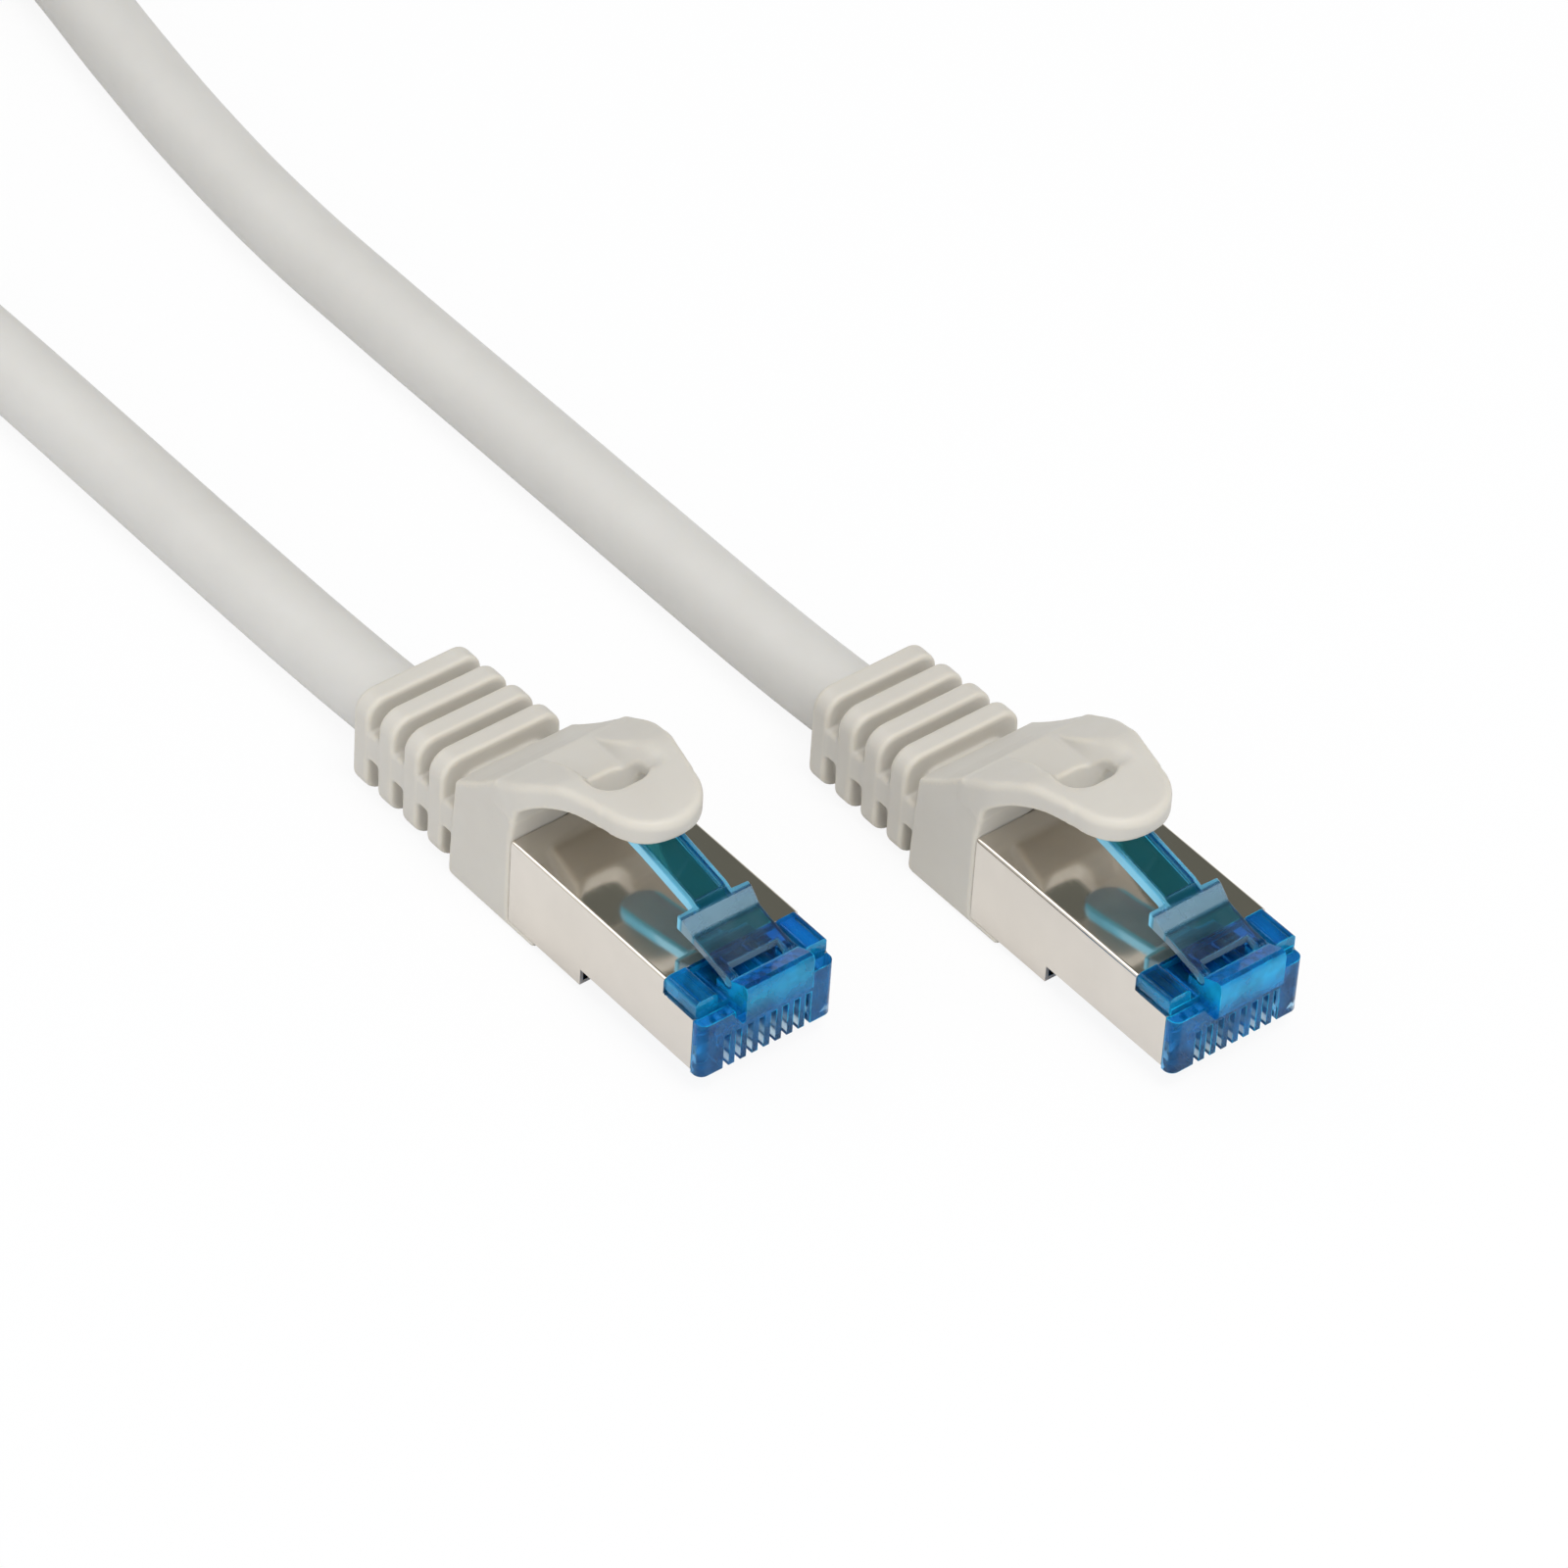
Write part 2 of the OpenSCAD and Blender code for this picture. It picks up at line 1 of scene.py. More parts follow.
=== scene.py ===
"""Ethernet patch cable: dresses the CAD frame with materials, soft PVC forms and the loose cord.

Lengths called mm are in the plug's own frame (x across, y back from the comb, z up) or in the
row frame in millimetres; MM turns them into metres.
"""

import math

import bpy
import numpy as np
from mathutils import Matrix, Vector


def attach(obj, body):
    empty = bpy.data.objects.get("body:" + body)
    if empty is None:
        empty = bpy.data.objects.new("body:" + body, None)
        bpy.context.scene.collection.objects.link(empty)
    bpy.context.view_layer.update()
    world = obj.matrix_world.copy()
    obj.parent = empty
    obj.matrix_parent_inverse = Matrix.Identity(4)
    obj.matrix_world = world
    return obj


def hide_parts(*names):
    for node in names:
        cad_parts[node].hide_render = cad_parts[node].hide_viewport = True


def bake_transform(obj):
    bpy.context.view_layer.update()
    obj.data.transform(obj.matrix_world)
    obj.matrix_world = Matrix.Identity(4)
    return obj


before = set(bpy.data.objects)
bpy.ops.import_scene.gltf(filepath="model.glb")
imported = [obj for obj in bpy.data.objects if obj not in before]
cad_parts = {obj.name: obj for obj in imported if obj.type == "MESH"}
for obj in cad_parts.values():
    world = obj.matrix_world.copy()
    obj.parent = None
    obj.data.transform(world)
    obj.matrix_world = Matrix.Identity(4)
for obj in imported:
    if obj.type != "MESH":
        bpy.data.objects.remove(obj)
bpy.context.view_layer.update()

MM = 0.001
ROOT = "plugs_and_cord"
PLUGS = {"a": (-13.2, -9.775, 1.1), "b": (13.2, -28.375, 1.1)}  # each plug's own origin, mm

# ---- camera -------------------------------------------------------------------------------

CAMERA_AT = (-299.678, -334.232, 411.774)  # row frame, mm
CAMERA_AZIMUTH = math.radians(-41.443)
CAMERA_ELEVATION = math.radians(41.727)
CAMERA_ROLL = math.radians(3.89)
CAMERA_LENS = 200
SENSOR_WIDTH = 36


def link(obj):
    bpy.context.scene.collection.objects.link(obj)
    return obj


def look_back():
    """Unit vector from the object towards the camera."""
    az, el = CAMERA_AZIMUTH, CAMERA_ELEVATION
    return Vector((math.sin(az) * math.cos(el), -math.cos(az) * math.cos(el), math.sin(el)))


def make_camera():
    data = bpy.data.cameras.new("camera")
    data.lens = CAMERA_LENS
    data.sensor_width = SENSOR_WIDTH
    data.clip_start = 0.05
    data.clip_end = 10
    cam = link(bpy.data.objects.new("camera", data))
    back = look_back()
    right = Vector((0, 0, 1)).cross(back).normalized()
    up = back.cross(right)
    c, s = math.cos(CAMERA_ROLL), math.sin(CAMERA_ROLL)
    turned_right, turned_up = c * right + s * up, c * up - s * right
    turn = Matrix((turned_right, turned_up, back)).transposed().to_4x4()
    cam.matrix_world = Matrix.Translation(Vector(CAMERA_AT) * MM) @ turn
    bpy.context.scene.camera = cam


make_camera()

# ---- cord ---------------------------------------------------------------------------------

CORD_D = 6.2
CABLE_Z = 3.15  # height of the cord's axis in the plug
EXIT_Y = 39.25  # where the cord leaves the boot
BEND_Y = 26.0  # where boot and cord begin to lean
EXIT_LEAN = (-0.8, 0.0, -0.55)

FOLD_R = 19.2
HANK_Y0 = 140.0
HANK_Y1 = 262.0
TIE_T = 0.8
LOW_Z = TIE_T + CORD_D / 2  # the hank's two layers
HIGH_Z = LOW_Z + CORD_D
CLIMB_FROM, CLIMB_OVER = 60, 95  # degrees of the near fold in which the cord changes layer
FOLD_STEP = 20  # degrees
RUN_SHARES = [0.0, 0.1, 0.3, 0.5, 0.7, 0.9, 1.0]
INSIDE_Y = 36.0  # where the loose cord begins, inside the boot
CORD_STEPS = 4

# Route points, as in the part's source
LEAD_A = [
    (-14.1, 40, 3.3), (-14.1, 52, 3.15), (-14.1, 64, 3.15), (-14.1, 76, 3.15), (-14.4, 88, 3.43),
    (-15.4, 99, 5.17), (-16.8, 110, 7.53), (-18.1, 121, 9.47), (-19.0, 132, 10.1),
]
LEAD_B = [
    (12.3, 20, 3.3), (12.3, 32, 3.15), (12.3, 44, 3.15), (12.3, 56, 3.15), (12.3, 68, 3.15),
    (12.5, 80, 3.15), (13.5, 92, 3.15), (15.2, 104, 3.15), (17.0, 115, 3.375), (18.3, 125, 3.75),
    (19.0, 134, 3.9),
]


def smooth(t):
    t = min(1.0, max(0.0, t))
    return t * t * (3 - 2 * t)


def cord_in_boot(plug, y):
    """The cord's axis inside a boot, at y of the plug's own frame, in row mm."""
    lean = smooth((y - BEND_Y) / (EXIT_Y - BEND_Y))
    ox, oy, oz = PLUGS[plug]
    return (ox + EXIT_LEAN[0] * lean, oy + y, oz + CABLE_Z + EXIT_LEAN[2] * lean)


def fold(y, start_side, reach, height):
    """A half turn of the hank about (0, y), from the run on start_side; height is a function of
    the angle gone through, in degrees."""
    points = []
    for angle in range(FOLD_STEP, 180, FOLD_STEP):
        a = math.radians(angle)
        across, back = FOLD_R * math.cos(a), FOLD_R * math.sin(a)
        points.append((start_side * across, y + reach * back, height(angle)))
    return points


def climb(angle):
    """Height of the cord on the fold where it goes from the low layer to the high one."""
    return LOW_Z + (HIGH_Z - LOW_Z) * smooth((angle - CLIMB_FROM) / CLIMB_OVER)


def hank():
    """Two turns, one on the other: from the right run's near end to the left run's, which is the
    way the cord goes from plug B to plug A."""
    run = [HANK_Y0 + f * (HANK_Y1 - HANK_Y0) for f in RUN_SHARES]
    points = []
    for z in (LOW_Z, HIGH_Z):
        points += [(FOLD_R, y, z) for y in run]
        points += fold(HANK_Y1, 1, 1, lambda angle: z)
        points += [(-FOLD_R, y, z) for y in reversed(run)]
        if z == LOW_Z:
            points += fold(HANK_Y0, -1, -1, climb)
    return points


def cord_points():
    """The whole cord, from inside boot A to inside boot B."""
    inside = [INSIDE_Y, EXIT_Y]
    start = [cord_in_boot("a", y) for y in inside]
    end = [cord_in_boot("b", y) for y in reversed(inside)]
    return start + LEAD_A + hank()[::-1] + LEAD_B[::-1] + end


def make_cord():
    """A smooth tube along the points, kept as a mesh."""
    points = cord_points()
    curve = bpy.data.curves.new("cord", "CURVE")
    curve.dimensions = "3D"
    curve.bevel_depth = CORD_D / 2 * MM
    curve.bevel_resolution = 10
    curve.use_fill_caps = True
    spline = curve.splines.new("BEZIER")
    spline.resolution_u = 10
    spline.bezier_points.add(len(points) - 1)
    for knot, p in zip(spline.bezier_points, points):
        knot.co = Vector(p) * MM
        knot.handle_left_type = knot.handle_right_type = "AUTO"
    drawn = link(bpy.data.objects.new("cord_line", curve))
    finished = drawn.evaluated_get(bpy.context.evaluated_depsgraph_get())
    tube = bpy.data.meshes.new_from_object(finished)
    bpy.data.objects.remove(drawn)
    tube.polygons.foreach_set("use_smooth", np.ones(len(tube.polygons), bool))
    obj = link(bpy.data.objects.new("cord", tube))
    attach(obj, ROOT)
    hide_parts("cord_lead_a", "cord_hank", "cord_lead_b")
    return obj


def curve_through(points, steps):
    """The smooth curve through points that the part's source draws too, with steps pieces between
    one point and the next."""
    line = []
    for i in range(len(points) - 1):
        a, b, c, d = (points[min(max(i + k, 0), len(points) - 1)] for k in (-1, 0, 1, 2))
        for k in range(steps):
            t = k / steps
            line.append(tuple(
                q + t / 2 * (r - p + t * (2 * p - 5 * q + 4 * r - s + t * (3 * q - p - 3 * r + s)))
                for p, q, r, s in zip(a, b, c, d)
            ))
    return line + [points[-1]]


cord = make_cord()
ties = [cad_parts["hank_tie_left"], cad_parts["hank_tie_right"]]
[[v * MM for v in point] for point in curve_through(cord_points(), CORD_STEPS)]

# ---- boots and guards: one soft moulding per plug ------------------------------------------

CELL = 0.14  # size of the grid cell that the moulding is meshed on
GRID_LOW, GRID_HIGH = (-6.4, 9.8, -1.6), (6.4, 40.0, 14.7)


def polygon_distance(u, v, points):
    """Signed distance from each (u, v) to a closed polygon, negative inside."""
    nearest = np.full(np.broadcast(u, v).shape, 1e9)
    inside = np.zeros(nearest.shape, bool)
    for i, (bu, bv) in enumerate(points):
        au, av = points[i - 1]
        eu, ev = bu - au, bv - av
        t = np.clip(((u - au) * eu + (v - av) * ev) / (eu * eu + ev * ev), 0, 1)
        nearest = np.minimum(nearest, (u - au - eu * t) ** 2 + (v - av - ev * t) ** 2)
        if ev:
            inside ^= ((av > v) != (bv > v)) & (u < eu * (v - av) / ev + au)
    return np.where(inside, -1, 1) * np.sqrt(nearest)


def box_distance(u, v, u0, u1, v0, v1, r=0.0):
    """Signed distance to a rectangle with corner radius r."""
    qu = np.abs(u - (u0 + u1) / 2) - (u1 - u0) / 2 + r
    qv = np.abs(v - (v0 + v1) / 2) - (v1 - v0) / 2 + r
    return np.minimum(np.maximum(qu, qv), 0) + np.hypot(np.maximum(qu, 0), np.maximum(qv, 0)) - r


def join(a, b, r):
    """Union whose inner corner is filled to radius r."""
    fillet = np.hypot(np.maximum(r - a, 0), np.maximum(r - b, 0))
    return np.maximum(r, np.minimum(a, b)) - fillet


def meet(a, b, r):
    """Intersection whose edge is rounded to radius r."""
    edge = np.hypot(np.maximum(r + a, 0), np.maximum(r + b, 0))
    return np.minimum(-r, np.maximum(a, b)) + edge


def carve(a, b, r):
    return meet(a, -b, r)


def ramp(x, x0, x1):
    t = np.clip((x - x0) / (x1 - x0), 0, 1)
    return t * t * (3 - 2 * t)


def mix(a, b, share):
    return a + share * (b - a)


def grow(radius, share):
    """A radius given as its least value and what is added to it, at a share of the addition."""
    least, more = radius
    return least + more * share


# Outlines are lists of (y, z) or (x, y). A pair of lists gives a measure at places along y.
BOOT_W = 12.0
BOOT_FLOOR = -1.1
BOOT_OPEN_Z = 30  # well above the boot
BOOT_PROFILE = [
    (18.4, BOOT_FLOOR), (27.8, BOOT_FLOOR), (28.15, -0.6), (28.1, 1.5), (27.7, 7.85), (25.3, 9.45),
    (23.4, 11.0), (22.1, 11.0), (22.1, 9.95), (21.05, 8.6), (21.35, 6.9), (21.35, 0.4),
    (18.4, -0.52),
]
# The boot's right side, which draws in where its set bend starts
RIGHT_SIDE = ([22.2, 23.5, 24.4, 25.4, 26.2, 27.0, 28.2], [6.0, 5.8, 5.6, 5.3, 4.95, 4.7, 4.55])
SOFT_SHOULDER_X, SOFT_SHOULDER_Y = (4, 5), (22, 24)  # its top right edge grows rounder over these

GUARD_TOP = [
    (23.4, 11.0), (22.1, 11.75), (21.0, 12.35), (19.1, 13.35), (16.9, 14.1), (11.0, 14.05),
    (9.9, 13.5),
]
GUARD_UNDER = [
    (9.8, 12.7), (11.0, 12.2), (14.4, 12.4), (16.5, 12.3), (18.7, 11.5), (20.5, 10.15),
    (20.95, 9.2), (21.05, 8.6),
]
GUARD_FOOT = [(22.1, 9.0), (23.4, 9.0)]  # closes the tab's profile inside the boot
GUARD_SIDE = [
    (3.95, 14.2), (4.35, 15.2), (4.7, 16.5), (5.05, 17.6), (5.5, 19.1), (5.95, 20.6),
    (6.05, 22.1), (6.0, 24.5),
]
GUARD_MIDDLE = ([14.7, 16.9, 19.0, 20.5, 22.1], [13.2, 13.2, 12.3, 11.2, 10.2])  # mid height
GUARD_STEPS = 5
PADDLE_Y, PADDLE_R = 14.2, 3.95

TAB_Z = 12.2  # the tab's underside at the eye
EYE_X, EYE_Y, EYE_R = (-2.8, 1.9), (15.15, 18.6), 1.7
EYE_LEAN = 0.3  # how far the eye's rear wall comes forward for each mm below the tab
POCKET_OPEN_Z = 20  # well above the tab
POCKET_PROFILE = [
    (16.9, TAB_Z), (18.65, TAB_Z), (23.9, 11.05), (23.9, POCKET_OPEN_Z), (11.5, POCKET_OPEN_Z),
]
POCKET_FLOOR = ([18.65, 23.9], [TAB_Z, 11.05])
POCKET_HALF = ([16.9, 18.65, 23.6], [0.9, 1.4, 2.2])
POCKET_LEAN = ([16.9, 18.65, 21.8], [1.0, 0.9, 0.15])
RIM_X, RIM_Y, RIM_R = (-2.7, 4.0), (15.0, 23.0), 0.8
RIM_PROFILE = [
    (17.2, 12.25), (17.5, 10.8), (18.0, 10.0), (20.3, 8.95), (21.3, 8.6), (21.3, 11.0),
    (19.0, 12.0),
]

# Ribs: pairs are the first rib's value and the last one's
RIB_COUNT = 4
RIB_Y0, RIB_PITCH, RIB_T = 29.2, 2.87, 1.7
RIB_X, RIB_W, RIB_TOP = (-0.6, -0.8), (10.5, 10.1), (8.05, 7.5)
RIB_Z0, RIB_R = -0.9, 1.6
NECK_W, NECK_Z = 7.8, (-0.75, 6.5)
WEB_Z, WEB_INSET, WEB_R = (2.4, 4.9), 0.1, 0.3
LINK_BEFORE, LINK_HALF = 0.9, 1.1  # neck and webs fill the gap in front of each rib

# What the moulding closes over
SHELL_W, SHELL_Z, SHELL_Y1 = 11.79, (-0.52, 6.87), 21.32
CRIMP_R, CRIMP_Y1 = 3.7, 25.52
BORE_GAP = 0.01

# Radii of edges and inner corners; a pair is the least radius and what is added to it
BOOT_CORNER, BOOT_EDGE = 0.5, (0.25, 0.25)
TAB_EDGE, TAB_FILLET = (0.15, 0.45), 0.25
PADDLE_FILLET, RIM_EDGE = 0.5, 0.3
POCKET_EDGE, POCKET_RIM = (0.12, 0.5), (0.12, 0.3)
RIB_EDGE, LINK_FILLET, FILLET = 0.28, 0.2, 0.15


def guard_distance(x, y, z):
    """The guard tab, and the eye and pocket that are cut from it."""
    rounds = [curve_through(points, GUARD_STEPS) for points in (GUARD_TOP, GUARD_UNDER)]
    profile = polygon_distance(y, z, rounds[0] + rounds[1] + GUARD_FOOT)
    side = curve_through(GUARD_SIDE, GUARD_STEPS)
    outline = polygon_distance(x, y, side + [(-u, v) for u, v in reversed(side)])
    outline = join(outline, np.hypot(x, y - PADDLE_Y) - PADDLE_R, PADDLE_FILLET)
    upper = ramp(z - np.interp(y, *GUARD_MIDDLE), -0.3, 0.5)
    tab = meet(profile, outline, grow(TAB_EDGE, upper))
    tab = join(tab, rim_distance(x, y, z), RIM_EDGE)
    return tab, join(eye_distance(x, y, z), pocket_distance(x, y, z), FILLET)


def eye_distance(x, y, z):
    """The finger eye, cut right through the tab; below the tab its rear wall leans forward."""
    lean = EYE_LEAN * np.maximum(TAB_Z - z, 0)
    return box_distance(x, y + lean, *EYE_X, *EYE_Y, EYE_R)


def pocket_distance(x, y, z):
    """The sloping pocket behind the eye; its walls lean outwards, most of all next to the eye."""
    floor_z = np.interp(y, *POCKET_FLOOR)
    half = np.interp(y, *POCKET_HALF)
    lean = np.interp(y, *POCKET_LEAN)
    wall = (np.abs(x) - half - lean * (z - floor_z)) / np.sqrt(1 + lean * lean)
    edge = grow(POCKET_EDGE, ramp(y, 18.2, 17.0))
    return meet(wall, polygon_distance(y, z, POCKET_PROFILE), edge)


def rim_distance(x, y, z):
    """The thick rim under the tab, behind and beside the eye."""
    outline = box_distance(x, y, *RIM_X, *RIM_Y, RIM_R)
    return meet(polygon_distance(y, z, RIM_PROFILE), outline, RIM_EDGE)


def rib_distance(x, y, z):
    """The bend ribs with the neck and side webs that link them; all follow the cord's lean."""
    total = None
    for i in range(RIB_COUNT):
        f = i / (RIB_COUNT - 1)
        y0 = RIB_Y0 + i * RIB_PITCH
        mid, half = mix(*RIB_X, f), mix(*RIB_W, f) / 2
        face = box_distance(x, z, mid - half, mid + half, RIB_Z0, mix(*RIB_TOP, f), RIB_R)
        rib = meet(face, np.abs(y - y0 - RIB_T / 2) - RIB_T / 2, RIB_EDGE)
        neck_top = NECK_Z[1] + EXIT_LEAN[2] * ramp(y0, BEND_Y, EXIT_Y)
        neck = box_distance(x, z, mid - NECK_W / 2, mid + NECK_W / 2, NECK_Z[0], neck_top, RIB_R)
        web = box_distance(x, z, mid - half + WEB_INSET, mid + half - WEB_INSET, *WEB_Z, WEB_R)
        gap = np.abs(y - y0 + LINK_BEFORE) - LINK_HALF
        piece = join(rib, np.maximum(join(neck, web, LINK_FILLET), gap), FILLET)
        total = piece if total is None else join(total, piece, FILLET)
    return total


def boot_field(x, y, z):
    """Signed distance to the whole moulding, hollow where shell, crimp box and cord go in."""
    shoulder = ramp(x, *SOFT_SHOULDER_X) * ramp(y, *SOFT_SHOULDER_Y)
    section = box_distance(
        x, z, -BOOT_W / 2, np.interp(y, *RIGHT_SIDE), BOOT_FLOOR, BOOT_OPEN_Z, BOOT_CORNER
    )
    body = meet(polygon_distance(y, z, BOOT_PROFILE), section, grow(BOOT_EDGE, shoulder))
    tab, pocket = guard_distance(x, y, z)
    whole = join(body, tab, TAB_FILLET)
    whole = carve(whole, pocket, grow(POCKET_RIM, ramp(z, 12.4, 13.6)))
    whole = join(whole, rib_distance(x, y, z), FILLET)
    shell = box_distance(x, z, -SHELL_W / 2, SHELL_W / 2, *SHELL_Z)
    shell = np.maximum(shell, y - SHELL_Y1)
    lean = ramp(y, BEND_Y, EXIT_Y)
    bore = np.hypot(x - EXIT_LEAN[0] * lean, z - CABLE_Z - EXIT_LEAN[2] * lean)
    bore = bore - CORD_D / 2 - BORE_GAP
    crimp = np.maximum(np.hypot(x, z - CABLE_Z) - CRIMP_R, y - CRIMP_Y1)
    return np.maximum(whole, -np.minimum(np.minimum(shell, bore), crimp))


def soften(field):
    """One pass of a 1-2-1 blur along each axis takes the grid's steps off the edges."""
    for axis in range(3):
        padded = np.concatenate([field.take([0], axis), field, field.take([-1], axis)], axis)
        n = field.shape[axis]
        before, after = padded.take(range(n), axis), padded.take(range(2, n + 2), axis)
        field = 0.5 * field + 0.25 * (before + after)
    return field


def surface_net(field, low, cell):
    """Vertices and quads of the zero surface of a gridded field, one vertex per crossed cell."""
    inside = field < 0
    corners = [(i, j, k) for i in (0, 1) for j in (0, 1) for k in (0, 1)]
    shape = [n - 1 for n in field.shape]
    count = np.zeros(shape, int)
    for i, j, k in corners:
        count += inside[i : i + shape[0], j : j + shape[1], k : k + shape[2]]
    crossed = (count > 0) & (count < 8)
    index = np.full(shape, -1)
    index[crossed] = np.arange(crossed.sum())
    cells = np.argwhere(crossed)
    total = np.zeros((len(cells), 3))
    hits = np.zeros(len(cells))
    for axis in range(3):
        step = np.eye(3, dtype=int)[axis]
        for corner in corners:
            if corner[axis]:
                continue
            a = field[tuple((cells + corner).T)]
            b = field[tuple((cells + corner + step).T)]
            cuts = (a < 0) != (b < 0)
            t = np.where(cuts, a / np.where(cuts, a - b, 1), 0)
            total[cuts] += (np.array(corner) + t[:, None] * step)[cuts]
            hits += cuts
    vertices = np.array(low) + (cells + total / hits[:, None]) * cell
    quads = []
    for axis in range(3):
        u, v = (axis + 1) % 3, (axis + 2) % 3
        step, eu, ev = np.eye(3, dtype=int)[[axis, u, v]]
        first = inside.take(range(field.shape[axis] - 1), axis)
        second = inside.take(range(1, field.shape[axis]), axis)
        at = np.argwhere(first != second)
        keep = (at[:, u] > 0) & (at[:, v] > 0) & (at[:, u] < shape[u]) & (at[:, v] < shape[v])
        at = at[keep]
        solid_first = first[tuple(at.T)]
        ring = [index[tuple((at - o).T)] for o in (0 * eu, eu, eu + ev, ev)]
        quad = np.stack(ring, 1)
        quads.append(np.where(solid_first[:, None], quad, quad[:, ::-1]))
    return vertices, np.concatenate(quads)


def boot_surface():
    """The moulding's vertices and quads, and how sharply it is bent at each vertex, in 1/mm."""
    axes = [np.arange(a, b, CELL) for a, b in zip(GRID_LOW, GRID_HIGH)]
    x, y, z = axes[0][:, None, None], axes[1][None, :, None], axes[2][None, None, :]
    field = soften(boot_field(x, y, z))
    vertices, quads = surface_net(field, GRID_LOW, CELL)
    bend = np.zeros(field.shape)
    for axis in range(3):
        bend += np.gradient(np.gradient(field, CELL, axis=axis), CELL, axis=axis)
    nearest = np.rint((vertices - GRID_LOW) / CELL).astype(int)
    return vertices, quads, bend[tuple(nearest.T)]


def mesh_from(name, vertices, faces):
    mesh = bpy.data.meshes.new(name)
    mesh.vertices.add(len(vertices))
    mesh.vertices.foreach_set("co", np.asarray(vertices, np.float32).ravel())
    mesh.loops.add(faces.size)
    mesh.loops.foreach_set("vertex_index", faces.astype(np.int32).ravel())
    mesh.polygons.add(len(faces))
    mesh.polygons.foreach_set("loop_start", np.arange(len(faces), dtype=np.int32) * faces.shape[1])
    mesh.polygons.foreach_set("use_smooth", np.ones(len(faces), bool))
    mesh.update()
    mesh.validate()
    return mesh


def make_boots():
    vertices, quads, bend = boot_surface()
    boots = []
    for plug, origin in PLUGS.items():
        mesh = mesh_from("boot", (vertices + origin) * MM, quads)
        # How sharply the moulding bends places its painted cream highlight.
        sharpness = mesh.attributes.new("bend", "FLOAT", "POINT")
        sharpness.data.foreach_set("value", bend.astype(np.float32))
        boot = link(bpy.data.objects.new(f"boot_moulding_{plug}", mesh))
        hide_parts(f"boot_{plug}", f"latch_guard_{plug}")
        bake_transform(boot)
        boots.append(boot)
    return boots


boots = make_boots()

# ---- materials ----------------------------------------------------------------------------


class Nodes:
    """A short hand for building one material's or world's node tree."""

    def __init__(self, owner):
        owner.use_nodes = True
        self.tree = owner.node_tree
        self.tree.nodes.clear()

    def add(self, kind, inputs=None, **settings):
        node = self.tree.nodes.new(kind)
        for key, value in settings.items():
            setattr(node, key, value)
        for key, value in (inputs or {}).items():
            socket = node.inputs[key]
            if isinstance(value, bpy.types.NodeSocket):
                self.tree.links.new(value, socket)
            else:
                socket.default_value = value
        return node

    def noise(self, scale, detail, roughness, vector):
        inputs = {"Scale": scale, "Detail": detail, "Roughness": roughness, "Vector": vector}
        return self.add("ShaderNodeTexNoise", inputs).outputs["Fac"]

    def remap(self, value, a, b, lo=0.3, hi=0.7):
        """From a to b as the value goes from lo to hi; a noise mostly lies between 0.3 and 0.7."""
        inputs = {"Value": value, "From Min": lo, "From Max": hi, "To Min": a, "To Max": b}
        return self.add("ShaderNodeMapRange", inputs).outputs["Result"]

    def mix(self, factor, a, b):
        inputs = {"Factor": factor, 6: a, 7: b}
        node = self.add("ShaderNodeMix", inputs, data_type="RGBA")
        return node.outputs[2]

    def math(self, operation, *values):
        inputs = dict(enumerate(values))
        return self.add("ShaderNodeMath", inputs, operation=operation).outputs[0]

    def times(self, a, b):
        return self.math("MULTIPLY", a, b)

    def dot(self, a, b):
        node = self.add("ShaderNodeVectorMath", {0: a, 1: b}, operation="DOT_PRODUCT")
        return node.outputs["Value"]

    def bump(self, height, strength, distance, normal=None):
        inputs = {"Height": height, "Strength": strength, "Distance": distance}
        if normal is not None:
            inputs["Normal"] = normal
        return self.add("ShaderNodeBump", inputs).outputs["Normal"]

    def position(self):
        return self.add("ShaderNodeTexCoord").outputs["Object"]

    def finish(self, shader):
        self.add("ShaderNodeOutputMaterial", {"Surface": shader.outputs[0]})


def new_material(name):
    material = bpy.data.materials.new(name)
    return material, Nodes(material)


def darker(colour, share):
    return tuple(share * c for c in colour[:3]) + (1,)


def pvc(name, low, high):
    """Satin grey PVC: faint cloudy colour, a painted cream highlight on sharp edges, fine grain and a
    few scuffs.
    """
    material, n = new_material(name)
    place = n.position()
    cloud = n.noise(90, 5, 0.6, place)
    grain = n.noise(5200, 3, 0.6, place)
    scuff = n.remap(n.noise(420, 8, 0.7, place), 0, 1, 0.62, 0.72)
    tone = n.mix(n.remap(cloud, 0, 1), low, high)
    bend = n.add("ShaderNodeAttribute", attribute_name="bend").outputs["Fac"]
    # Painted highlight: where the moulding bends sharply outwards, its colour turns cream.
    tone = n.mix(n.remap(bend, 0, 0.3, 0.6, 3.0), tone, CREAM_EDGE_HIGHLIGHT)
    rough = n.remap(n.noise(260, 4, 0.6, place), 0.42, 0.56)
    normal = n.bump(grain, 0.12, 0.00002)
    normal = n.bump(scuff, 0.05, 0.00002, normal)
    shader = n.add("ShaderNodeBsdfPrincipled", {
        "Base Color": tone, "Roughness": rough, "Normal": normal, "Specular IOR Level": 0.35,
        "Subsurface Weight": 0.12, "Subsurface Radius": (1.6, 1.2, 0.7), "Subsurface Scale": 0.001,
    })
    n.finish(shader)
    return material


DRAWN_GRAIN = (900, 40, 900)  # long along y
WOVEN_GRAIN = (3000, 3000, 3000)


